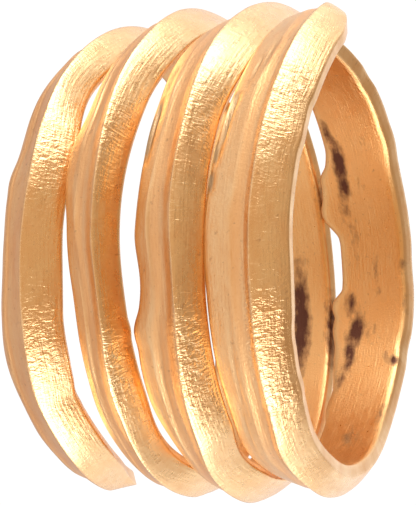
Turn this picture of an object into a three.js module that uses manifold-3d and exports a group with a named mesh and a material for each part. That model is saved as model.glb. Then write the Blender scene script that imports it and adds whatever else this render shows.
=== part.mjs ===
// A coil ring of hammered gold: one long strip with a keel along its outside,
// wound three and a half times round a finger, its turns lying side by side.
// Millimetres, +Z up. The ring lies on its side: its axis runs along +X, nearly
// level, and the strip rises from its free end at low X to its free end at high X.
import * as THREE from "three";
import { mergeVertices } from "three/addons/utils/BufferGeometryUtils.js";
import Module from "manifold-3d";

// The finger hole and the whole winding
const BORE_RADIUS = 8.55;
const PITCH = 3.0; // mean advance along the axis in one turn
const START_ANGLE = -90; // degrees round the axis; 0 faces -Y and 90 is the top
const END_ANGLE = 1153;
const REST_TILT = 2.1; // degrees that the high X end of the axis stands above level
const FLAT_DEPTH = 0.21; // how far the lowest crests are worn flat where the ring lies

// The strip's section: a low triangle, flat inside, its crest nearer its high X edge
const CREST_THICKNESS = 1.27;
const CREST_HALF_WIDTH = 0.14;
const CREST_DROP = 0.07; // fall of the rounded crest within its half width
const EDGE_CHAMFER = 0.07;
const LIP_WIDTH = 0.22; // narrow lip along the high X edge
const LIP_GROOVE = 0.05; // depth of the groove that sets the lip off
const FLANK_HOLLOW = 0.16; // how far the long far flank sinks below a straight slope
const FACE_HOLLOW = 0.05; // the same on the short near face
const END_ROUNDING = 1.1; // length over which the free ends round off
const END_WIDTH_SHARE = 0.4; // width left at the very end
const END_THICKNESS_SHARE = 0.72;
const END_EDGE_THICKNESS = 0.95; // both edges thicken into the blunt free ends
const END_THICKENING = 2.4; // length of strip over which they do

// The hand of the smith: one value for each quarter turn from START_ANGLE on
const QUARTER = 90;
const WANDER = [
  -0.5, 0.5, 0.0, -0.4, 0.5, 0.1, -0.05, -0.4, 0.35, 0.25, 0.15, 0.45, 0.15, 0.15, 0.35,
]; // high X edge ahead of an even winding
const FIRST_TURN_WIDTH = [1.85, 2.27, 1.8, 3.0];
const TURN_GAP = [
  1.6, 0.65, 0.6, 0.4, 0.4, 0.65, 0.9, 0.65, 0.3, 0.12, 0.5,
]; // free space to the turn before, from the second turn on
const CREST_PLACE = [
  0.8, 1.05, 1.0, 0.9, 0.9, 0.65, 1.1, 1.0, 1.2, 0.8, 0.9, 0.9, 0.75, 1.05, 1.05,
]; // crest in from the high X edge
const RADIUS_CHANGE = [
  0.0, -0.2, -0.35, -0.05, 0.05, 0.05, 0.05, 0.15, 0.15, 0.1, -0.15, -0.05, -0.2, -0.35, -0.3,
]; // bore radius against BORE_RADIUS
const NEAR_EDGE_THICKNESS = [
  0.4, 0.32, 0.35, 0.5, 0.4, 0.32, 0.35, 0.6, 0.4, 0.32, 0.45, 0.85, 0.5, 0.48, 0.45,
]; // the edge at high X
const FAR_EDGE_THICKNESS = [
  0.62, 0.62, 0.62, 0.62, 0.62, 0.62, 0.62, 0.62, 0.62, 0.62, 0.62, 0.62, 0.65, 0.92, 0.8,
]; // the edge at low X
const NEAR_UNDERCUT = [
  0.2, 0.15, 0.25, 0.2, 0.25, 0.15, 0.25, 0.15, 0.25, 0.12, 0.2, 0.15, 0.1, 0.04, 0.1,
]; // how far that edge's inner corner stands back from its outer one

// Kinks: the angle each one stands at, half its length in degrees, and how far along the
// axis it shifts the high X edge, the crest and the low X edge
const KINKS = [
  [-58, 30, 0.55, 0.45, 0.12],
  [-28, 14, 0.15, 0, -0.08],
  [-20, 18, 0, 0, -0.15],
  [-8, 16, 0.08, 0, 0],
  [15, 12, 0, 0.05, -0.08],
  [22, 14, 0.06, 0, 0],
  [48, 26, -0.25, -0.05, -0.3],
  [44, 12, -0.08, 0, 0],
  [306, 20, -0.24, -0.05, 0.04],
  [332, 12, 0, -0.1, 0],
  [340, 24, 0.06, 0.18, 0.12],
  [352, 14, 0, 0.08, 0.05],
  [372, 24, -0.1, 0.05, -0.1],
  [424, 26, 0.24, 0.15, 0],
  [664, 14, -0.25, -0.15, 0],
  [672, 14, 0, 0, 0.06],
  [688, 24, 0, 0.02, -0.18],
  [710, 24, 0.04, 0.18, 0],
  [713, 11, 0, 0, 0.25],
  [730, 20, -0.02, -0.05, 0.05],
  [774, 26, 0.32, -0.08, -0.25],
  [848, 34, 0.26, 0.15, 0],
  [883, 16, 0, 0, -0.48],
  [930, 22, 0, 0, -0.34],
  [956, 30, 0, 0, -0.16],
  [950, 34, -0.2, -0.1, 0],
  [1028, 16, -0.1, -0.2, -0.15],
  [1070, 18, 0.1, 0.05, 0.03],
  [1120, 22, 0.08, 0.05, 0.08],
  [1152, 14, -0.38, 0, 0],
];

// How finely the strip is stepped
const STEP_ANGLE = 5;
const END_STEPS = [0, 0.6, 1.5, 3]; // degrees in from each free end

const radians = THREE.MathUtils.degToRad;

// Smooth curve through values that stand a quarter turn apart
function between(values, angle) {
  const place = (angle - START_ANGLE) / QUARTER;
  const i = Math.min(Math.max(Math.floor(place), 0), values.length - 2);
  const t = place - i;
  const at = (k) => values[Math.min(Math.max(k, 0), values.length - 1)];
  const slopeIn = (at(i + 1) - at(i - 1)) / 2;
  const slopeOut = (at(i + 2) - at(i)) / 2;
  const rise = at(i + 1) - at(i);
  return at(i) + t * (slopeIn + t * (3 * rise - 2 * slopeIn - slopeOut + t * (slopeIn + slopeOut - 2 * rise)));
}

// Place of the high X edge along the axis at each quarter turn, and the strip's width there
const quarters = WANDER.length;
const nearEdge = WANDER.map((wander, i) => (PITCH * i * QUARTER) / 360 + wander);
const perTurn = 360 / QUARTER;
const width = WANDER.map((_, i) => {
  if (i < perTurn) return FIRST_TURN_WIDTH[i];
  return nearEdge[i] - nearEdge[i - perTurn] - TURN_GAP[i - perTurn];
});

// 0 at a free end, 1 once the strip has its full section
function endShare(angle) {
  const fromEnd = Math.min(angle - START_ANGLE, END_ANGLE - angle);
  const run = Math.min(1, (radians(fromEnd) * BORE_RADIUS) / END_ROUNDING);
  return Math.sqrt(1 - (1 - run) ** 2);
}

// Thickness of an edge at one angle: as given along the strip, more towards a free end
function edgeThickness(usual, angle) {
  const fromEnd = Math.min(angle - START_ANGLE, END_ANGLE - angle);
  const run = Math.min(1, (radians(fromEnd) * BORE_RADIUS) / END_THICKENING);
  return usual + (END_EDGE_THICKNESS - usual) * (1 - run) ** 2;
}

// Shifts that the kinks give to the high X edge, the crest and the low X edge at one angle
function shifts(angle) {
  const total = [0, 0, 0];
  for (const [middle, half, ...shift] of KINKS) {
    const t = Math.min(1, Math.abs(angle - middle) / half);
    shift.forEach((amount, i) => (total[i] += amount * (1 - t * t) ** 2));
  }
  return total;
}

// The section at one angle: [distance in from the high X edge, height over the bore]
function section(angle) {
  const [nearShift, crestShift, farShift] = shifts(angle);
  const full = between(width, angle) + nearShift - farShift;
  const share = endShare(angle);
  const w = full * (END_WIDTH_SHARE + (1 - END_WIDTH_SHARE) * share);
  const tall = END_THICKNESS_SHARE + (1 - END_THICKNESS_SHARE) * share;
  const crest = ((between(CREST_PLACE, angle) + nearShift - crestShift) * w) / full;
  const across = w / full;
  const near = edgeThickness(between(NEAR_EDGE_THICKNESS, angle), angle);
  const far = edgeThickness(between(FAR_EDGE_THICKNESS, angle), angle);
  const nearRise = CREST_THICKNESS - near;
  const farRise = CREST_THICKNESS - far;
  const flank = w - crest;
  const undercut = between(NEAR_UNDERCUT, angle) * across;
  const points = [
    [undercut + EDGE_CHAMFER * across, 0],
    [undercut, EDGE_CHAMFER],
    [0, near - EDGE_CHAMFER],
    [EDGE_CHAMFER * across, near],
    [LIP_WIDTH * across, near - LIP_GROOVE],
    [crest * 0.55, near + nearRise * 0.5 - FACE_HOLLOW],
    [crest - CREST_HALF_WIDTH * across, CREST_THICKNESS - CREST_DROP],
    [crest, CREST_THICKNESS],
    [crest + CREST_HALF_WIDTH * across, CREST_THICKNESS - CREST_DROP],
    [crest + flank * 0.38, far + farRise * 0.62 - FLANK_HOLLOW],
    [crest + flank * 0.7, far + farRise * 0.3 - FLANK_HOLLOW / 2],
    [w - EDGE_CHAMFER * across, far],
    [w, far - EDGE_CHAMFER],
    [w, EDGE_CHAMFER],
    [w - EDGE_CHAMFER * across, 0],
  ];
  const inset = (full - w) / 2;
  return points.map(([u, v]) => [u + inset, v * tall]);
}

// Angles at which the strip is stepped, closer together at its free ends
const angles = END_STEPS.map((step) => START_ANGLE + step);
for (let a = START_ANGLE + STEP_ANGLE; a < END_ANGLE - STEP_ANGLE / 2 - Math.max(...END_STEPS); a += STEP_ANGLE) {
  angles.push(a);
}
angles.push(...END_STEPS.map((step) => END_ANGLE - step).reverse());

// One ring of points for each step, tilted as the ring lies
const tilt = new THREE.Matrix4().makeRotationY(-radians(REST_TILT));
const rings = angles.map((angle) => {
  const bore = BORE_RADIUS + between(RADIUS_CHANGE, angle);
  const edge = between(nearEdge, angle) + shifts(angle)[0];
  const round = radians(angle);
  return section(angle).map(([u, v]) => {
    const r = bore + v;
    return new THREE.Vector3(edge - u, -r * Math.cos(round), r * Math.sin(round)).applyMatrix4(tilt);
  });
});

// Skin between the rings, and a fan that closes each free end
function stripGeometry() {
  const n = rings[0].length;
  const points = rings.flat();
  const faces = [];
  for (let i = 0; i + 1 < rings.length; i++) {
    for (let j = 0; j < n; j++) {
      const a = i * n + j;
      const b = i * n + ((j + 1) % n);
      faces.push(a, a + n, b, b, a + n, b + n);
    }
  }
  for (const [first, turned] of [[0, false], [(rings.length - 1) * n, true]]) {
    const centre = new THREE.Vector3();
    for (let j = 0; j < n; j++) centre.add(points[first + j]);
    points.push(centre.divideScalar(n));
    for (let j = 0; j < n; j++) {
      const a = first + j;
      const b = first + ((j + 1) % n);
      faces.push(points.length - 1, ...(turned ? [b, a] : [a, b]));
    }
  }
  return new THREE.BufferGeometry().setFromPoints(points).setIndex(faces);
}

const wasm = await Module();
wasm.setup();

// A closed geometry as a solid that can be cut
function solidOf(geometry) {
  const bare = geometry.clone();
  bare.deleteAttribute("normal");
  bare.deleteAttribute("uv");
  const merged = mergeVertices(bare, 1e-5);
  return new wasm.Manifold(
    new wasm.Mesh({
      numProp: 3,
      vertProperties: merged.attributes.position.array,
      triVerts: new Uint32Array(merged.index.array),
    }),
  );
}

// The lowest crests are worn flat by a level cut just above their lowest point
const strip = stripGeometry();
strip.computeBoundingBox();
const reach = strip.boundingBox.getSize(new THREE.Vector3());
const below = new THREE.BoxGeometry(4 * reach.x, 4 * reach.y, reach.z);
below.translate(0, 0, strip.boundingBox.min.z + FLAT_DEPTH - reach.z / 2);
const cut = solidOf(strip).subtract(solidOf(below)).getMesh();

// The origin lies under the middle of the ring's box, on the surface that it lies on
const geometry = new THREE.BufferGeometry();
geometry.setAttribute("position", new THREE.BufferAttribute(cut.vertProperties, 3));
geometry.setIndex(new THREE.BufferAttribute(cut.triVerts, 1));
geometry.computeBoundingBox();
const middle = geometry.boundingBox.getCenter(new THREE.Vector3());
geometry.translate(-middle.x, -middle.y, -geometry.boundingBox.min.z);
geometry.computeVertexNormals();

const gold = new THREE.MeshStandardMaterial({ color: 0xc9955c, metalness: 1, roughness: 0.38 });
const coil = new THREE.Mesh(geometry, gold);
coil.name = "coil";

const ring = new THREE.Group();
ring.add(coil);
export default ring;
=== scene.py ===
"""A hammered gold coil ring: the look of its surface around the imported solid, and the photograph's view."""

import math

import bpy
import numpy as np
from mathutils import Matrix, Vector


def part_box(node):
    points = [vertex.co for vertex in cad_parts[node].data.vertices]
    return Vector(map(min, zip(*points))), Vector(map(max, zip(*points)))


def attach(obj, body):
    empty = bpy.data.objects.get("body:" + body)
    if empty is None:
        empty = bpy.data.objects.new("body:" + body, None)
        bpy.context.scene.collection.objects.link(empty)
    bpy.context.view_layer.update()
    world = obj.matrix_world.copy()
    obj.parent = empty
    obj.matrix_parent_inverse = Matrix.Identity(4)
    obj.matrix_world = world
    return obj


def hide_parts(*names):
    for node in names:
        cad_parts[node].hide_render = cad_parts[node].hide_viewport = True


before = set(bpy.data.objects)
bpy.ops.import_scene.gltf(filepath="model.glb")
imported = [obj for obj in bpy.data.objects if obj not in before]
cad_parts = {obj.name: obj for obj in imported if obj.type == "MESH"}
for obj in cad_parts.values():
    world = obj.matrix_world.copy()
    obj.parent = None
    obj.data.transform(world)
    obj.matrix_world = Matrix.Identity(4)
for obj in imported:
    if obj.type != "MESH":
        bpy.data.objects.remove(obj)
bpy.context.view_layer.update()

MM = 0.001

# The winding, as the solid has it: millimetres and degrees round the ring's axis, where
# 0 degrees faces -Y and 90 is the top. Each list has one value for each quarter turn.
BORE_RADIUS = 8.55
STRIP_RADIUS = BORE_RADIUS + 1  # where distances along the strip are measured
PITCH = 3.0
START_ANGLE = -90.0
END_ANGLE = 1153.0
QUARTER = 90.0
FULL_TURN = 360
REST_TILT = 2.1
FLAT_DEPTH = 0.21
WINDING_MIDDLE = 4.171  # middle of the tilted winding along the axis, from its start
WANDER = [
    -0.5, 0.5, 0.0, -0.4, 0.5, 0.1, -0.05, -0.4, 0.35, 0.25, 0.15, 0.45, 0.15, 0.15, 0.35,
]
FIRST_TURN_WIDTH = [1.85, 2.27, 1.8, 3.0]
TURN_GAP = [
    1.6, 0.65, 0.6, 0.4, 0.4, 0.65, 0.9, 0.65, 0.3, 0.12, 0.5,
]
CREST_PLACE = [
    0.8, 1.05, 1.0, 0.9, 0.9, 0.65, 1.1, 1.0, 1.2, 0.8, 0.9, 0.9, 0.75, 1.05, 1.05,
]
RADIUS_CHANGE = [
    0.0, -0.2, -0.35, -0.05, 0.05, 0.05, 0.05, 0.15, 0.15, 0.1, -0.15, -0.05, -0.2, -0.35, -0.3,
]
NEAR_EDGE_THICKNESS = [
    0.4, 0.32, 0.35, 0.5, 0.4, 0.32, 0.35, 0.6, 0.4, 0.32, 0.45, 0.85, 0.5, 0.48, 0.45,
]
FAR_EDGE_THICKNESS = [
    0.62, 0.62, 0.62, 0.62, 0.62, 0.62, 0.62, 0.62, 0.62, 0.62, 0.62, 0.62, 0.65, 0.92, 0.8,
]
NEAR_UNDERCUT = [
    0.2, 0.15, 0.25, 0.2, 0.25, 0.15, 0.25, 0.15, 0.25, 0.12, 0.2, 0.15, 0.1, 0.04, 0.1,
]

# Kinks: the angle each one stands at, half its length in degrees, and how far along the axis
# it shifts the near edge, the crest and the far edge
KINKS = [
    (-58, 30, 0.55, 0.45, 0.12), (-28, 14, 0.15, 0, -0.08), (-20, 18, 0, 0, -0.15),
    (-8, 16, 0.08, 0, 0), (15, 12, 0, 0.05, -0.08), (22, 14, 0.06, 0, 0),
    (48, 26, -0.25, -0.05, -0.3), (44, 12, -0.08, 0, 0),
    (306, 20, -0.24, -0.05, 0.04), (332, 12, 0, -0.1, 0), (340, 24, 0.06, 0.18, 0.12),
    (352, 14, 0, 0.08, 0.05), (372, 24, -0.1, 0.05, -0.1), (424, 26, 0.24, 0.15, 0),
    (664, 14, -0.25, -0.15, 0), (672, 14, 0, 0, 0.06), (688, 24, 0, 0.02, -0.18),
    (710, 24, 0.04, 0.18, 0), (713, 11, 0, 0, 0.25),
    (730, 20, -0.02, -0.05, 0.05), (774, 26, 0.32, -0.08, -0.25),
    (848, 34, 0.26, 0.15, 0), (883, 16, 0, 0, -0.48), (930, 22, 0, 0, -0.34),
    (956, 30, 0, 0, -0.16), (950, 34, -0.2, -0.1, 0),
    (1028, 16, -0.1, -0.2, -0.15), (1070, 18, 0.1, 0.05, 0.03), (1120, 22, 0.08, 0.05, 0.08),
    (1152, 14, -0.38, 0, 0),
]

# Small nicks and bulges of the strip's edges, listed as the kinks are
NICKS = [
    (703, 5, 0, 0, -0.1), (342, 3, 0.05, 0, 0), (60, 7, 0, 0, -0.06), (18, 5, 0, 0, -0.06),
    (-36, 4, -0.06, 0, 0), (1104, 4, 0.04, 0, 0), (1112, 4, -0.04, 0, 0),
    (1060, 5, -0.04, 0, 0), (1046, 4, 0.04, 0, 0),
    (884, 8, 0, 0, -0.14), (890, 6.5, 0, 0, -0.36), (877, 4, 0, 0, -0.18),
    (917, 5, 0, 0, -0.38), (924, 8, 0, 0, -0.2), (954, 8, 0, 0, -0.16),
    (868, 7, 0.06, 0, 0), (905, 8, -0.05, 0, 0), (930, 6, -0.06, 0, 0), (845, 5, -0.05, 0, 0),
    (-90, 20, -0.1, 0.05, 0.45), (-68, 22, 0, 0, 0.22), (724, 16, 0.05, 0, 0),
    (1084, 16, 0, 0, -0.05), (380, 15, 0, 0, -0.24), (26, 10, 0.06, 0, 0),
]

# The strip's section, in millimetres
CREST_THICKNESS = 1.27
CROWN_CURVE = 1.25  # 1 makes the near face flat, more makes it steeper at its edge
EDGE_ROUNDING = 0.03
BORE_EDGE_WEAR = 0.03  # how far the bore's edges are worn back
BORE_EDGE_SHARE = 0.08  # and over what share of the bore's width

# The far flank falls steeply from the crest, runs on as a shelf to a low ridge, and slopes off
# to its edge: where the steep part and the shelf end, and how much of the fall is steep
STEP_END = [
    0.5, 0.6, 0.5, 0.4, 0.4, 0.34, 0.35, 0.35, 0.35, 0.29, 0.25, 0.2, 0.18, 0.15, 0.15,
]
RIDGE_PLACE = [
    0.75, 0.8, 0.75, 0.7, 0.65, 0.62, 0.62, 0.62, 0.62, 0.62, 0.55, 0.5, 0.45, 0.43, 0.43,
]
STEP_FALL = [
    0.5, 0.6, 0.5, 0.5, 0.5, 0.48, 0.48, 0.48, 0.48, 0.48, 0.46, 0.45, 0.44, 0.42, 0.42,
]
STEP_CURVE = 0.6  # 0 makes the steep part straight, 1 rounds it off at either end
SHELF_FALL = 0.08
SHELF_HOLLOW = 0.03
RIDGE_RISE = 0.012
RIDGE_HALF = 0.06
EDGE_CURVE = 0.15  # 0 makes the slope beyond the ridge straight, more makes it steeper at the edge

# Slow unevenness along the strip: amount, length of its grains in degrees, seed
CREST_UNEVENNESS = (0.03, 21, 3)  # amount in millimetres
LINE_WANDER = (0.05, 9, 31)  # of the shelf's two lines, as a share of the flank
STEP_UNEVENNESS = (0.25, 13, 32)  # of the steep part's fall, as a share of it
RIDGE_UNEVENNESS = (0.8, 6, 33)  # of the ridge's rise, as a share of it

# The same for what only shows in the colour, with the grains' length in millimetres
SHELF_WANDER = (0.05, 2.1, 52)
FOOT_BREAKS = (1.0, 1.1, 51)
FOOT_BREAK_RANGE = (-0.5, 0.6)

# The hammer's unevenness: height, length along and across the strip (millimetres), seed
HAMMERING = [(0.018, 2.3, 0.9, 7), (0.009, 0.9, 0.5, 8)]
BORE_HAMMERING = (0.02, 1.7, 1.1, 11)

# The free ends, in millimetres or as shares of the full section
END_ROUNDING = 1.1  # length of strip over which both ends round off
END_WIDTH_SHARE = 0.3
END_THICKNESS_SHARE = 0.72
END_EDGE_THICKNESS = 0.95  # of the last end's edges, which thicken
END_THICKENING = 2.4  # length of strip over which they do
START_THINNING = 0.85  # share of the rounding's thinning that the first end has
START_EDGE_THICKNESS = 1.2
START_TAPER = 3.4  # length of strip over which the first end's edges thicken and it lifts
START_LIFT = 0.62  # how far the first end's inner side lifts off the bore

# How finely the surface is divided: steps along the strip in millimetres, shares across it
PLAIN_STEP = 0.145
WRINKLED_STEP = 0.08
FINENESS = 1.6  # how soon the steps grow finer where wrinkles begin
END_STEP = 0.02
END_STEP_GROWTH = 0.09  # growth of the step with each millimetre from a free end
FACE_SHARES = [0.0, 0.015, 0.04, 0.1, 0.19, 0.28, 0.38, 0.48, 0.58, 0.68, 0.78, 0.88, 0.95, 1.0]
FLANK_SHARES = [
    0.03, 0.07, 0.11, 0.15, 0.2, 0.25, 0.31, 0.37, 0.42, 0.46,
    0.52, 0.58, 0.62, 0.67, 0.73, 0.8, 0.87, 0.94, 1.0,
]
WALL_SHARES = [0.75, 0.45, 0.15]
BORE_POINTS = 16
BORE_MARGIN = 0.02

# Where hammering and bending left the crown wrinkled: turn, middle angle and half width in
# that turn, strength, and how far the wrinkles run before they break up (millimetres)
WRINKLES = [
    (0, 27, 9, 0.6, 0.5), (1, 28, 13, 0.75, 0.5), (2, 31, 17, 1.0, 0.7), (3, 33, 17, 1.0, 0.7),
    (0, -21, 6, 0.4, 0.25), (1, -23, 9, 0.7, 0.25), (2, -22, 17, 0.9, 0.3), (3, -19, 16, 0.8, 0.25),
    (0, 205, 24, 0.6, 0.5), (1, 160, 26, 0.6, 0.5), (2, 200, 28, 0.7, 0.6),
]
WRINKLE_RISE = 0.007
WRINKLE_LENGTH = 0.22
WRINKLE_SEED = 40
FAINT_WRINKLES = 0.3  # strength of the wrinkles over the rest of the crown
WARP = 0.9  # how far the wrinkles bend, in wrinkle lengths
WARP_ACROSS = 0.5  # share of that by which their ends shift too
WARP_LENGTH = 0.8
WARP_WIDTH = 0.6
WARP_SEED = 20

# Where the crown is pebbled: middle angle, half width, strength
PEBBLED = [
    (24, 22, 0.8), (-20, 16, 0.8), (337, 20, 0.8), (385, 16, 0.4), (700, 26, 1.0),
    (1062, 24, 0.9), (1046, 16, 0.8), (745, 20, 0.3), (1100, 22, 0.3),
    (200, 60, 0.5), (560, 60, 0.5), (900, 60, 0.5),
]

# Places across the outside count from the near edge (0) over the crest (1) to the far edge (2):
# where each kind of surface begins, is whole, begins to end and has ended
WRINKLED_PLACES = (0.12, 0.3, 1.06, 1.2)
PEBBLED_PLACES = (0.05, 0.2, 1.1, 1.3)
CROWN_FADE = (1.02, 1.12)  # where the crown begins to end and has ended
SHELF_FADE = 0.08  # over how much of the flank the shelf's painted reflection fades

# Painted shade along the foot of the crests, where the crest falls to the flank: its place across, half width
# and strength
FOOT_PLACE = 1.035
FOOT_HALF = 0.05
FOOT_SHADE = 0.45

# Creases of the far flank, along the strip: from angle, to angle, share of the flank from the
# crest at either end, half width and depth in millimetres
CREASES = [
    (738, 755, 0.93, 0.86, 0.09, 0.16), (756, 764, 0.80, 0.74, 0.05, 0.05),
    (1097, 1115, 0.93, 0.84, 0.06, 0.2), (1115, 1126, 0.66, 0.60, 0.03, 0.05),
    (1091, 1096, 0.96, 0.94, 0.05, 0.12), (1118, 1132, 0.50, 0.44, 0.035, 0.05),
    (700, 742, 0.62, 0.55, 0.04, 0.03), (676, 712, 0.50, 0.42, 0.04, 0.035),
    (668, 700, 0.66, 0.72, 0.05, 0.03), (1040, 1072, 0.60, 0.52, 0.05, 0.03),
    (1020, 1046, 0.72, 0.66, 0.04, 0.04), (372, 400, 0.62, 0.5, 0.05, 0.03),
    (330, 362, 0.52, 0.6, 0.05, 0.03), (20, 52, 0.5, 0.6, 0.05, 0.03),
]
LIP_HEIGHT = 0.25  # of the raised lip beside a crease, as a share of its depth
LIP_PLACE = 1.8  # in half widths of the crease
LIP_HALF = 1.3
DARK_DEPTH = 0.1  # depth from which a crease's painted shade is full, millimetres

# Stains in the bore and on its near wall, partly real brown stains and partly painted shade: angle,
# place across from the near edge, half length and half width in millimetres, strength
STAINS_AND_SHADE = [
    (862, 2.75, 0.9, 0.22, 0.7), (872, 2.55, 1.3, 0.34, 1.0), (880, 2.55, 0.8, 0.3, 0.9),
    (888, 2.7, 0.8, 0.2, 0.55), (896, 2.4, 1.2, 0.22, 0.35), (917, 2.75, 0.7, 0.3, 0.7),
    (926, 2.35, 1.0, 0.42, 1.0), (934, 2.45, 1.1, 0.3, 0.85), (942, 2.6, 1.2, 0.22, 0.55),
    (936, 0.35, 0.32, 0.26, 1.0), (934, 0.75, 0.3, 0.12, 0.5), (926, 1.6, 0.5, 0.14, 0.45),
    (906, 1.55, 0.9, 0.2, 0.3), (880, 1.7, 0.5, 0.2, 0.3), (913, 1.5, 0.3, 0.14, 0.35),
    (866, 1.2, 0.5, 0.2, 0.25), (905, 0.25, 0.5, 0.2, 0.45), (918, 0.25, 0.7, 0.14, 0.35),
    (956, 0.3, 1.2, 0.2, 0.45), (970, 1.3, 1.0, 0.5, 0.35), (564, 0.1, 2.0, 0.3, 0.7),
    (524, 0.1, 1.2, 0.25, 0.4), (545, 1.3, 0.9, 0.3, 0.3), (562, 1.55, 3.0, 0.5, 1.0),
    (190, 1.5, 2.0, 0.5, 0.3), (640, 1.2, 1.5, 0.5, 0.3), (1000, 1.4, 1.5, 0.5, 0.2),
]
STAIN_AND_SHADE_FADE = 1.5  # how far a stain or patch of painted shade fades out, in its half widths

# Noises of the metal: grains to a millimetre along and across the strip, detail, roughness,
# distortion, and the grains' lean in radians
GRAINS = {
    "patches": (0.35, 0.9, 3.0, 0.5, 0.0, 0.0),
    "mottling": (1.3, 2.6, 4.0, 0.65, 0.6, 0.0),
    "specks": (3.5, 4.5, 3.0, 0.65, 0.0, 0.0),
    "stain_and_shade_edges": (1.6, 3.2, 4.0, 0.6, 0.0, 0.0),
    "gloss": (1.2, 4.0, 4.0, 0.6, 0.0, 0.0),
    "ripples": (4.8, 1.8, 1.5, 0.5, 1.6, 0.1),
    "pebbles": (6.0, 5.0, 1.5, 0.5, 0.8, 0.0),
    "hatching": (16.0, 4.5, 2.0, 0.6, 0.0, 0.75),
    "lines": (0.6, 14.0, 3.0, 0.6, 0.0, 0.0),
    "skin": (9.0, 9.0, 2.0, 0.6, 0.0, 0.0),
}

# The metal's colours, with painted shade and painted reflections among them, how strongly each is laid
# over the one before, and between which values of its noise it comes in
LIGHT_GOLD = (0.94, 0.64, 0.32, 1)
REDDER_GOLD = (0.92, 0.57, 0.26, 1)
REDDER_RANGE = (0.35, 0.65)
MOTTLED_GOLD = (0.86, 0.49, 0.21, 1)
MOTTLED_TINT = 0.6
MOTTLED_RANGE = (0.45, 0.72)
# The bore darker and redder: painted shade and painted reflection of gold on gold inside the ring
BORE_SHADE_GOLD = (0.80, 0.44, 0.14, 1)
BORE_SHADE_TINT = 0.6
# The flank's shelf more orange: painted reflection of the golden turn beside it
SHELF_REFLECTION_GOLD = (0.92, 0.50, 0.20, 1)
SHELF_REFLECTION_TINT = 0.7
SPECK_BROWN = (0.45, 0.25, 0.12, 1)
SPECK_TINT = 0.5
SPECK_RANGE = (0.62, 0.72)
# Colour of the stains and of the painted shade in the bore and on its near wall
STAIN_AND_SHADE_BROWN = (0.16, 0.07, 0.045, 1)
STAIN_AND_SHADE_RANGE = (0.12, 0.75)
STAIN_AND_SHADE_REACH = (0.0, 0.12)  # strengths between which the outermost edge of a stain or of painted shade fades out
STAIN_AND_SHADE_BREAK = 0.22  # how much noise breaks up the edges of the stains and painted shade
STAIN_AND_SHADE_BREAK_RANGE = (0.3, 0.7)
# Painted shade in the creases and at the foot of the crests
CREASE_SHADE_BROWN = (0.25, 0.12, 0.06, 1)
CREASE_SHADE_TINT = 0.6

# Roughness of the metal
LEAST_ROUGH = 0.20
MOST_ROUGH = 0.38
ROUGH_RANGE = (0.3, 0.7)
ROUGHER_OFF_CROWN = 0.07
ROUGHER_IN_STAINS_AND_SHADE = 0.25

# Heights of the metal's fine relief, in millimetres
RIPPLE_HEIGHT = 0.075
PEBBLE_HEIGHT = 0.045
HATCH_HEIGHT = 0.005
LINE_HEIGHT = 0.013
LINE_HEIGHT_ON_CROWN = 0.017
SKIN_HEIGHT = 0.013

# The photograph's view: how far the camera stands and where it aims, in millimetres and degrees
PHOTO_HEIGHT = 505
CAMERA_DISTANCE = 50.0
CAMERA_AZIMUTH = 26.0
AIM = (-1.37, 0.0, 9.75)
FOCAL_PIXELS = 1215.25
SENSOR = 36.0
CLIP_START = 0.001  # metres
CLIP_END = 10.0

# The studio. A zone is where its light differs from white: azimuth and elevation of the zone's
# middle, the cosines where it begins and is whole, and its colour
FLOOR_SIZE = 4.0  # metres
FLOOR_GLOW = 1.05
BACKDROP_WHITE = (1.05, 1.05, 1.05, 1)
STUDIO_WHITE = (1.2, 1.2, 1.28, 1)
LIGHT_ZONES = [
    (-100, 0, 0.1, 0.85, (0.66, 0.54, 0.53)), (95, 0, 0.3, 0.8, (0.46, 0.35, 0.26)),
    (22, 0, 0.45, 0.86, (0.70, 0.52, 0.37)),
    (40, 77, 0.87, 0.95, (4.4, 4.5, 4.9)), (45, -72, 0.87, 0.95, (4.4, 4.5, 4.9)),
]


def blend(first, last, share):
    """first where the share is 0, last where it is 1."""
    return first + (last - first) * share


def between(values, angle):
    """Smooth curve through values that stand a quarter turn apart."""
    v = np.asarray(values, float)
    place = (np.asarray(angle, float) - START_ANGLE) / QUARTER
    i = np.clip(np.floor(place).astype(int), 0, len(v) - 2)
    t = place - i

    def at(k):
        return v[np.clip(k, 0, len(v) - 1)]

    slope_in = (at(i + 1) - at(i - 1)) / 2
    slope_out = (at(i + 2) - at(i)) / 2
    rise = at(i + 1) - at(i)
    square = 3 * rise - 2 * slope_in - slope_out
    cube = slope_in + slope_out - 2 * rise
    return at(i) + t * (slope_in + t * (square + t * cube))


def bump_at(x, middle, half_width):
    """1 at the middle, falling smoothly to 0 half_width away."""
    t = np.clip(np.abs(np.asarray(x, float) - middle) / half_width, 0, 1)
    return (1 - t * t) ** 2


def smooth_step(x, low, high):
    t = np.clip((np.asarray(x, float) - low) / (high - low), 0, 1)
    return t * t * (3 - 2 * t)


def window(x, begins, whole, wanes, gone):
    """1 between whole and wanes, fading to 0 on either side."""
    return smooth_step(x, begins, whole) * (1 - smooth_step(x, wanes, gone))


def lattice_noise(x, y, seed):
    """Smooth noise between -1 and 1 whose grains are one unit of x by one of y."""
    def corner(ix, iy):
        n = (ix * 374761393 + iy * 668265263 + seed * 982451653) & 0xFFFFFFFF
        n = ((n ^ (n >> 13)) * 1274126177) & 0xFFFFFFFF
        return ((n ^ (n >> 16)) & 0xFFFF) / 32767.5 - 1

    ix, iy = np.floor(x).astype(np.int64), np.floor(y).astype(np.int64)
    fx, fy = x - ix, y - iy
    sx, sy = fx * fx * (3 - 2 * fx), fy * fy * (3 - 2 * fy)
    low = corner(ix, iy) * (1 - sx) + corner(ix + 1, iy) * sx
    high = corner(ix, iy + 1) * (1 - sx) + corner(ix + 1, iy + 1) * sx
    return low * (1 - sy) + high * sy


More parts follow.
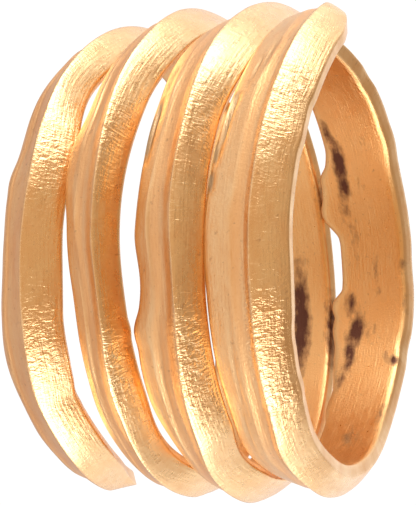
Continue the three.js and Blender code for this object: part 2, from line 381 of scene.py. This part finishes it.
def uneven(place, amount, length, seed):
    """Noise that changes along the strip alone, up to the amount either way."""
    return amount * lattice_noise(place / length, place * 0 + 0.5, seed)


def hammered(along, u, height, length, width, seed):
    """Noise of the given height whose grains are length along the strip by width across it."""
    return height * lattice_noise(along / length, u / width, seed)


def near_edge_places():
    return [PITCH * i * QUARTER / FULL_TURN + wander for i, wander in enumerate(WANDER)]


def widths():
    """The strip's width at each quarter turn: later turns fill the room beside the turn before."""
    per_turn = int(FULL_TURN / QUARTER)
    edge = near_edge_places()
    later = range(per_turn, len(edge))
    return FIRST_TURN_WIDTH + [edge[i] - edge[i - per_turn] - TURN_GAP[i - per_turn] for i in later]


def shifts(angle):
    """Shifts of the near edge, the crest and the far edge that the kinks and nicks give."""
    total = [np.zeros_like(angle) for _ in range(3)]
    for middle, half, *shift in KINKS + NICKS:
        for i, amount in enumerate(shift):
            total[i] = total[i] + amount * bump_at(angle, middle, half)
    return total


def strongest(angle, zones):
    """Strength of the strongest zone at an angle; a zone is a middle angle, half width and strength."""
    total = np.zeros_like(angle)
    for middle, half, strength in zones:
        total = np.maximum(total, strength * bump_at(angle, middle, half))
    return total


def step_angles():
    """Angles of the mesh's steps, closer together where the strip is wrinkled and at its ends."""
    per_degree = math.radians(1) * STRIP_RADIUS
    wrinkled = [(FULL_TURN * turn + middle, half, strength) for turn, middle, half, strength, _ in WRINKLES]
    angles = [START_ANGLE]
    while angles[-1] < END_ANGLE:
        a = angles[-1]
        fine = min(1.0, FINENESS * float(strongest(np.array([a]), wrinkled)[0]))
        from_end = min(a - START_ANGLE, END_ANGLE - a) * per_degree
        step = min(blend(PLAIN_STEP, WRINKLED_STEP, fine), END_STEP + END_STEP_GROWTH * from_end)
        angles.append(a + step / per_degree)
    angles[-1] = END_ANGLE
    return np.array(angles)


def end_distance(angle):
    """How far along the strip the nearer free end is, in millimetres."""
    return np.radians(np.minimum(angle - START_ANGLE, END_ANGLE - angle)) * BORE_RADIUS


def edge_thickness(usual, angle):
    """Thickness of an edge, which grows into the blunt free ends."""
    at_start = angle < 0
    run = np.minimum(1, end_distance(angle) / np.where(at_start, START_TAPER, END_THICKENING))
    final = np.where(at_start, START_EDGE_THICKNESS, END_EDGE_THICKNESS)
    return blend(usual, final, (1 - run) ** 2)


def crown_profile(x):
    """Height of the near face from its edge (0) to the crest (1)."""
    return 1 - (1 - np.clip(x, 0, 1)) ** CROWN_CURVE


def flank_profile(y, a):
    """Height of the far flank, 1 at the crest (y = 0) and 0 at its edge (y = 1)."""
    wander = uneven(a, *LINE_WANDER)
    step, ridge = between(STEP_END, a) + wander / 2, between(RIDGE_PLACE, a) + wander
    steep = between(STEP_FALL, a) * (1 + uneven(a, *STEP_UNEVENNESS))
    on_step = np.clip(y / step, 0, 1)
    on_shelf = np.clip((y - step) / (ridge - step), 0, 1)
    beyond = np.clip((y - ridge) / (1 - ridge), 0, 1)
    height = 1 - steep * blend(on_step, smooth_step(on_step, 0, 1), STEP_CURVE)
    height = height - SHELF_FALL * on_shelf - SHELF_HOLLOW * np.sin(np.pi * on_shelf)
    height = height - (1 - steep - SHELF_FALL) * blend(beyond, beyond ** 2, EDGE_CURVE)
    rise = RIDGE_RISE * (1 + uneven(a, *RIDGE_UNEVENNESS))
    return height + rise * bump_at(y, ridge, RIDGE_HALF)


def outer_skin(a, width, crest):
    """The outside of the strip: distances across it, heights over the bore, and places across."""
    near = edge_thickness(between(NEAR_EDGE_THICKNESS, a), a)
    far = edge_thickness(between(FAR_EDGE_THICKNESS, a), a)
    top = CREST_THICKNESS + uneven(a, *CREST_UNEVENNESS)
    face = np.array(FACE_SHARES)[None, :]
    flank = np.array(FLANK_SHARES)[None, :]
    u = np.concatenate([crest * face, blend(crest, width, flank)], axis=1)
    heights = [blend(near, top, crown_profile(face)), blend(far, top, flank_profile(flank, a))]
    place = np.concatenate([face, 1 + flank], axis=1) + 0 * a
    return u, np.concatenate(heights, axis=1), place


def press_creases(a, u, v, width, crest):
    """Presses the creases and the fold into the far flank, each with a raised lip beside it, and gives the
    painted shade in each crease, darker the deeper it is.
    """
    crease_shade = np.zeros_like(u)
    for first, last, share_first, share_last, half, depth in CREASES:
        t = (a - first) / (last - first)
        fade = np.clip(4 * t * (1 - t), 0, 1)
        middle = blend(crest, width, blend(share_first, share_last, np.clip(t, 0, 1)))
        strength = fade ** 0.5 * bump_at(u, middle, 2 * half)
        v = v - depth * strength
        v = v + LIP_HEIGHT * depth * fade * bump_at(u, middle + LIP_PLACE * half, LIP_HALF * half)
        # painted shade in the crease, darker the deeper it is
        crease_shade = np.maximum(crease_shade, strength * min(1, depth / DARK_DEPTH))
    return v, crease_shade


def raise_wrinkles(a, along, u, v, place):
    """Raises the wrinkles across the crown."""
    on_crown = window(place, *WRINKLED_PLACES)
    wrinkle = FAINT_WRINKLES * on_crown
    for k, (turn, middle, half, strength, run) in enumerate(WRINKLES):
        zone = strength * bump_at(a, FULL_TURN * turn + middle, half) * on_crown
        warp = hammered(along, u, WARP, WARP_LENGTH, WARP_WIDTH, WARP_SEED + k)
        bent_along, bent_across = along / WRINKLE_LENGTH + warp, u / run + WARP_ACROSS * warp
        v = v + WRINKLE_RISE * zone * lattice_noise(bent_along, bent_across, WRINKLE_SEED + k)
        wrinkle = np.maximum(wrinkle, zone)
    return v, wrinkle


def shelf_share(a, along, place):
    """1 on the far flank's shelf, 0 off it."""
    y = place - 1 + uneven(along, *SHELF_WANDER)
    begins, ends = between(STEP_END, a), between(RIDGE_PLACE, a)
    return window(y, begins, begins + SHELF_FADE, ends - SHELF_FADE, ends + SHELF_FADE / 2)


def foot_shade(along, place):
    """Painted shade in broken stretches at the foot of the crests."""
    broken = smooth_step(uneven(along, *FOOT_BREAKS), *FOOT_BREAK_RANGE)
    return FOOT_SHADE * bump_at(place, FOOT_PLACE, FOOT_HALF) * broken


def round_edges(u, v, width):
    for distance in (u, width - u):
        inside = np.clip(distance / EDGE_ROUNDING, 0, 1)
        v = v - EDGE_ROUNDING * (1 - np.sqrt(1 - (1 - inside) ** 2))
    return v


def inner_skin(a, v, width):
    """The far wall, the bore's face and the near wall, in that order, which close the section."""
    undercut = between(NEAR_UNDERCUT, a)
    wall = np.array(WALL_SHARES)[None, :]
    rise = wall[:, ::-1]
    bore = np.linspace(BORE_MARGIN, 1 - BORE_MARGIN, BORE_POINTS)[None, :]
    bore_u = blend(width, undercut, bore)
    bore_v = hammered(np.radians(a) * BORE_RADIUS, bore_u, *BORE_HAMMERING)
    for edge in (0, 1):
        bore_v = bore_v + BORE_EDGE_WEAR * bump_at(bore, edge, BORE_EDGE_SHARE)
    across = [width + 0 * wall, bore_u, undercut * (1 - rise)]
    heights = [v[:, -1:] * wall, bore_v, v[:, :1] * rise]
    return np.concatenate(across, axis=1), np.concatenate(heights, axis=1)


# Strength of the stains and painted shade in the bore and on its near wall
def stain_and_shade_map(a, u):
    total = np.zeros_like(u)
    for middle, place, half_along, half_across, strength in STAINS_AND_SHADE:
        along = np.radians(a - middle) * BORE_RADIUS
        distance = np.hypot(along / half_along, (u - place) / half_across)
        total = np.maximum(total, strength * (1 - smooth_step(distance, 0.0, STAIN_AND_SHADE_FADE)))
    return total


def shape_ends(a, u, v, width):
    """Rounds the free ends off, narrower and thinner, and lifts the first one off the bore."""
    at_start = a < 0
    share = np.sqrt(1 - (1 - np.minimum(1, end_distance(a) / END_ROUNDING)) ** 2)
    tall = blend(END_THICKNESS_SHARE, 1, share)
    u = width / 2 + (u - width / 2) * blend(END_WIDTH_SHARE, 1, share)
    v = v * np.where(at_start, 1 - START_THINNING * (1 - tall), tall)
    taper = (1 - np.minimum(1, end_distance(a) / START_TAPER)) ** 2 * at_start
    return u, v + START_LIFT * taper * (1 - v / CREST_THICKNESS)


def strip_surface():
    """Points of the strip's skin, the distances across and along it, and what marks each point."""
    a = step_angles()[:, None]
    near_shift, crest_shift, far_shift = shifts(a)
    width = between(widths(), a) + near_shift - far_shift
    crest = between(CREST_PLACE, a) + near_shift - crest_shift
    u, v, place = outer_skin(a, width, crest)
    along = np.radians(a) * STRIP_RADIUS + 0 * u

    v, crease_shade = press_creases(a, u, v, width, crest)
    v, wrinkle = raise_wrinkles(a, along, u, v, place)
    outer_marks = {
        # painted shade in the creases and along the foot of the crests
        "crease_shade": np.maximum(crease_shade, foot_shade(along, place)),
        "wrinkle": wrinkle,
        "pebble": strongest(a, PEBBLED) * window(place, *PEBBLED_PLACES),
        "crown": 1 - smooth_step(place, *CROWN_FADE),
        "shelf": shelf_share(a, along, place),
    }
    v = v + sum(hammered(along, u, *blows) for blows in HAMMERING)
    v = round_edges(u, v, width)

    inner_u, inner_v = inner_skin(a, v, width)
    outer_count = u.shape[1]
    u = np.concatenate([u, inner_u], axis=1)
    v = np.concatenate([v, inner_v], axis=1)
    marks = {name: np.zeros_like(u) for name in [*outer_marks, "bore", "stain_and_shade"]}
    for name, values in outer_marks.items():
        marks[name][:, :outer_count] = values
    first_bore = outer_count + len(WALL_SHARES)
    marks["bore"][:, first_bore:first_bore + BORE_POINTS] = 1

    u, v = shape_ends(a, u, v, width)
    # Stains and painted shade over the bore and the near wall
    marks["stain_and_shade"][:, first_bore:] = stain_and_shade_map(a, u[:, first_bore:])
    radius = BORE_RADIUS + between(RADIUS_CHANGE, a) + v
    turn = np.radians(a)
    axial = between(near_edge_places(), a) + near_shift - u
    points = np.stack([axial, -radius * np.cos(turn), radius * np.sin(turn)], axis=-1)
    return points, u, turn * STRIP_RADIUS + 0 * u, marks


def lowest_crest():
    """How low the crest reaches once the winding is tilted, before it is worn flat."""
    angle = np.arange(START_ANGLE, END_ANGLE, 1.0)
    _, crest_shift, _ = shifts(angle)
    axial = between(near_edge_places(), angle) - between(CREST_PLACE, angle) + crest_shift
    radius = BORE_RADIUS + between(RADIUS_CHANGE, angle) + CREST_THICKNESS
    tilt = math.radians(REST_TILT)
    return (axial * math.sin(tilt) + radius * np.sin(np.radians(angle)) * math.cos(tilt)).min()


def lay_down(points):
    """Tilts the winding as the ring lies, wears its lowest crests flat and puts it where the solid is."""
    tilt = math.radians(REST_TILT)
    x = points[..., 0] * math.cos(tilt) - points[..., 2] * math.sin(tilt)
    y = points[..., 1] - (points[..., 1].min() + points[..., 1].max()) / 2
    z = points[..., 0] * math.sin(tilt) + points[..., 2] * math.cos(tilt)
    low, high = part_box("coil")
    floor_z = lowest_crest() + FLAT_DEPTH
    x = x - WINDING_MIDDLE + (low.x + high.x) / 2 / MM
    y = y + (low.y + high.y) / 2 / MM
    z = np.maximum(z, floor_z) - floor_z + low.z / MM
    return np.stack([x, y, z], axis=-1) * MM


def skin_faces(rows, columns):
    """Faces of a closed tube of rows times columns points, and of its two end caps."""
    i, j = np.meshgrid(np.arange(rows - 1), np.arange(columns), indexing="ij")
    after = (j + 1) % columns
    corners = [i * columns + j, (i + 1) * columns + j, (i + 1) * columns + after, i * columns + after]
    faces = np.stack(corners, axis=-1).reshape(-1, 4).tolist()
    last_row = (rows - 1) * columns
    start_cap = rows * columns
    for k in range(columns):
        after = (k + 1) % columns
        faces.append([start_cap, k, after])
        faces.append([start_cap + 1, last_row + after, last_row + k])
    return faces


def build_ring():
    points, u, along, marks = strip_surface()
    rows, columns = u.shape
    verts = lay_down(points).reshape(-1, 3)
    caps = [verts[:columns].mean(axis=0), verts[-columns:].mean(axis=0)]
    verts = np.concatenate([verts, caps])
    mesh = bpy.data.meshes.new("hammered_coil")
    mesh.from_pydata(verts.tolist(), [], skin_faces(rows, columns))
    mesh.update()
    for polygon in mesh.polygons:
        polygon.use_smooth = True

    # Distances along and across the strip, for the grain of the metal, and the marks
    lengths = np.zeros((len(verts), 3), np.float32)
    lengths[:-2, 0] = along.ravel()
    lengths[:-2, 1] = u.ravel()
    mesh.attributes.new("strip_place", "FLOAT_VECTOR", "POINT").data.foreach_set("vector", lengths.ravel())
    for name, values in marks.items():
        layer = mesh.attributes.new(name, "FLOAT", "POINT")
        layer.data.foreach_set("value", np.append(values.ravel(), [0, 0]).astype(np.float32))
    ring = bpy.data.objects.new("hammered_coil", mesh)
    bpy.context.scene.collection.objects.link(ring)
    return ring


class Graph:
    """Short way to write a material's nodes."""

    def __init__(self, tree):
        self.tree = tree
        tree.nodes.clear()

    def feed(self, socket, value):
        """Links a socket to another one, or sets its value."""
        if isinstance(value, bpy.types.NodeSocket):
            self.tree.links.new(value, socket)
        else:
            socket.default_value = value

    def node(self, kind, settings=None, **inputs):
        """Adds a node; an input is named, or numbered as i0, i1 and so on."""
        made = self.tree.nodes.new(kind)
        for key, value in (settings or {}).items():
            setattr(made, key, value)
        for key, value in inputs.items():
            numbered = key[0] == "i" and key[1:].isdigit()
            self.feed(made.inputs[int(key[1:]) if numbered else key], value)
        return made

    def math(self, operation, a, b=0.0, clamp=False):
        settings = {"operation": operation, "use_clamp": clamp}
        return self.node("ShaderNodeMath", settings, i0=a, i1=b).outputs[0]

    def times(self, a, b):
        return self.math("MULTIPLY", a, b)

    def plus(self, first, *others):
        for other in others:
            first = self.math("ADD", first, other)
        return first

    def mix(self, factor, a, b):
        made = self.node("ShaderNodeMix", {"data_type": "RGBA"}, i0=factor, i6=a, i7=b)
        return made.outputs[2]

    def remap(self, value, low, high, to_low=0.0, to_high=1.0, curve="LINEAR"):
        settings = {"interpolation_type": curve}
        made = self.node("ShaderNodeMapRange", settings, i0=value, i1=low, i2=high, i3=to_low, i4=to_high)
        return made.outputs[0]

    def attribute(self, name, output="Fac"):
        return self.node("ShaderNodeAttribute", {"attribute_name": name}).outputs[output]

    def grain(self, name):
        """One of the metal's noises, drawn out along or across the strip."""
        per_mm_along, per_mm_across, detail, roughness, distortion, lean = GRAINS[name]
        place = self.attribute("strip_place", "Vector")
        turned = self.node("ShaderNodeVectorRotate", {"rotation_type": "Z_AXIS"}, Vector=place, Angle=lean)
        scaled = self.node("ShaderNodeVectorMath", {"operation": "MULTIPLY"},
                           i0=turned.outputs[0], i1=(per_mm_along, per_mm_across, 1.0))
        noise = self.node("ShaderNodeTexNoise", {"noise_dimensions": "3D"}, Vector=scaled.outputs[0],
                          Scale=1.0, Detail=detail, Roughness=roughness, Distortion=distortion)
        return noise.outputs["Fac"]


def stain_and_shade_share(g):
    """The brown stains and painted shade in the bore and on its near wall, their edges broken up by noise."""
    strength = g.attribute("stain_and_shade")
    noise = g.remap(g.grain("stain_and_shade_edges"), *STAIN_AND_SHADE_BREAK_RANGE, -STAIN_AND_SHADE_BREAK, STAIN_AND_SHADE_BREAK)
    broken = g.remap(g.plus(strength, noise), *STAIN_AND_SHADE_RANGE)
    return g.times(broken, g.remap(strength, *STAIN_AND_SHADE_REACH))


def gold_colour(g, stain_and_shade):
    """Light yellow gold with patches of redder gold; painted shade and reflected gold in the bore, painted
    reflection on the flank's shelf, brown stains mixed with painted shade, and painted shade in the creases
    and at the foot of the crests.
    """
    colour = g.mix(g.remap(g.grain("patches"), *REDDER_RANGE), LIGHT_GOLD, REDDER_GOLD)
    layers = [
        (g.remap(g.grain("mottling"), *MOTTLED_RANGE, 0.0, MOTTLED_TINT), MOTTLED_GOLD),
        # painted shade and reflected gold in the bore
        (g.times(g.attribute("bore"), BORE_SHADE_TINT), BORE_SHADE_GOLD),
        # painted reflection of the golden turn beside the shelf
        (g.times(g.attribute("shelf"), SHELF_REFLECTION_TINT), SHELF_REFLECTION_GOLD),
        (g.remap(g.grain("specks"), *SPECK_RANGE, 0.0, SPECK_TINT), SPECK_BROWN),
        # stains and painted shade in the bore and on its near wall
        (stain_and_shade, STAIN_AND_SHADE_BROWN),
        # painted shade in the creases and at the foot of the crests
        (g.times(g.attribute("crease_shade"), CREASE_SHADE_TINT), CREASE_SHADE_BROWN),
    ]
    for share, layer in layers:
        colour = g.mix(share, colour, layer)
    return colour


def gold_roughness(g, stain_and_shade):
    """Satin, duller off the crown and under the stains and painted shade."""
    rough = g.remap(g.grain("gloss"), *ROUGH_RANGE, LEAST_ROUGH, MOST_ROUGH)
    off_crown = g.math("SUBTRACT", 1.0, g.attribute("crown"))
    rough = g.plus(rough, g.times(off_crown, ROUGHER_OFF_CROWN))
    return g.math("ADD", rough, g.times(stain_and_shade, ROUGHER_IN_STAINS_AND_SHADE), clamp=True)


def gold_relief(g):
    """Height in millimetres of the ripples, pebbles, hatching, drawn-out lines and skin."""
    crown = g.attribute("crown")
    ripples = g.math("ABSOLUTE", g.math("SUBTRACT", g.grain("ripples"), 0.5))
    return g.plus(
        g.times(ripples, g.times(g.attribute("wrinkle"), RIPPLE_HEIGHT)),
        g.times(g.grain("pebbles"), g.times(g.attribute("pebble"), PEBBLE_HEIGHT)),
        g.times(g.grain("hatching"), g.times(crown, HATCH_HEIGHT)),
        g.times(g.grain("lines"), g.remap(crown, 0.0, 1.0, LINE_HEIGHT, LINE_HEIGHT_ON_CROWN)),
        g.times(g.grain("skin"), SKIN_HEIGHT),
    )


def gold_material():
    material = bpy.data.materials.new("hammered_gold")
    material.use_nodes = True
    g = Graph(material.node_tree)
    stain_and_shade = stain_and_shade_share(g)
    bump = g.node("ShaderNodeBump", {}, Strength=1.0, Distance=MM, Height=gold_relief(g)).outputs[0]
    shader = g.node("ShaderNodeBsdfPrincipled", {}, Roughness=gold_roughness(g, stain_and_shade), Normal=bump)
    g.feed(shader.inputs["Base Color"], gold_colour(g, stain_and_shade))
    g.feed(shader.inputs["Metallic"], 1.0)
    g.node("ShaderNodeOutputMaterial", {}, Surface=shader.outputs[0])
    return material


def add_floor():
    bpy.ops.mesh.primitive_plane_add(size=FLOOR_SIZE, location=(0, 0, 0))
    floor = bpy.context.object
    floor.name = "floor"
    material = bpy.data.materials.new("pale_floor")
    material.use_nodes = True
    g = Graph(material.node_tree)
    glow = g.node("ShaderNodeEmission", {}, Color=(1, 1, 1, 1), Strength=FLOOR_GLOW)
    g.node("ShaderNodeOutputMaterial", {}, Surface=glow.outputs[0])
    floor.data.materials.append(material)
    floor.visible_glossy = False


def direction(azimuth, elevation):
    a, e = math.radians(azimuth), math.radians(elevation)
    return Vector((math.sin(a) * math.cos(e), -math.cos(a) * math.cos(e), math.sin(e)))


def add_camera():
    data = bpy.data.cameras.new("camera")
    camera = bpy.data.objects.new("camera", data)
    bpy.context.scene.collection.objects.link(camera)
    back = direction(CAMERA_AZIMUTH, 0)
    camera.location = (Vector(AIM) + CAMERA_DISTANCE * back) * MM
    camera.rotation_euler = (-back).to_track_quat("-Z", "Y").to_euler()
    data.sensor_width = SENSOR
    data.lens = SENSOR * FOCAL_PIXELS / PHOTO_HEIGHT
    data.clip_start = CLIP_START
    data.clip_end = CLIP_END
    bpy.context.scene.camera = camera


def add_light():
    """A white studio all round, dimmer and warmer from where the photographer stands."""
    world = bpy.data.worlds.new("studio")
    bpy.context.scene.world = world
    world.use_nodes = True
    g = Graph(world.node_tree)
    way = g.node("ShaderNodeTexCoord").outputs["Generated"]
    colour = STUDIO_WHITE
    for azimuth, elevation, low, high, light in LIGHT_ZONES:
        toward = tuple(direction(azimuth, elevation))
        facing = g.node("ShaderNodeVectorMath", {"operation": "DOT_PRODUCT"}, i0=way, i1=toward)
        share = g.remap(facing.outputs["Value"], low, high, curve="SMOOTHSTEP")
        colour = g.mix(share, colour, (*light, 1))
    seen = g.node("ShaderNodeLightPath").outputs["Is Camera Ray"]
    background = g.node("ShaderNodeBackground", {}, Strength=1.0, Color=g.mix(seen, colour, BACKDROP_WHITE))
    g.node("ShaderNodeOutputWorld", {}, Surface=background.outputs[0])


add_camera()
ring = build_ring()
ring.data.materials.append(gold_material())
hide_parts("coil")
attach(ring, "root")
add_floor()
add_light()
bpy.context.scene.view_settings.view_transform = "Standard"
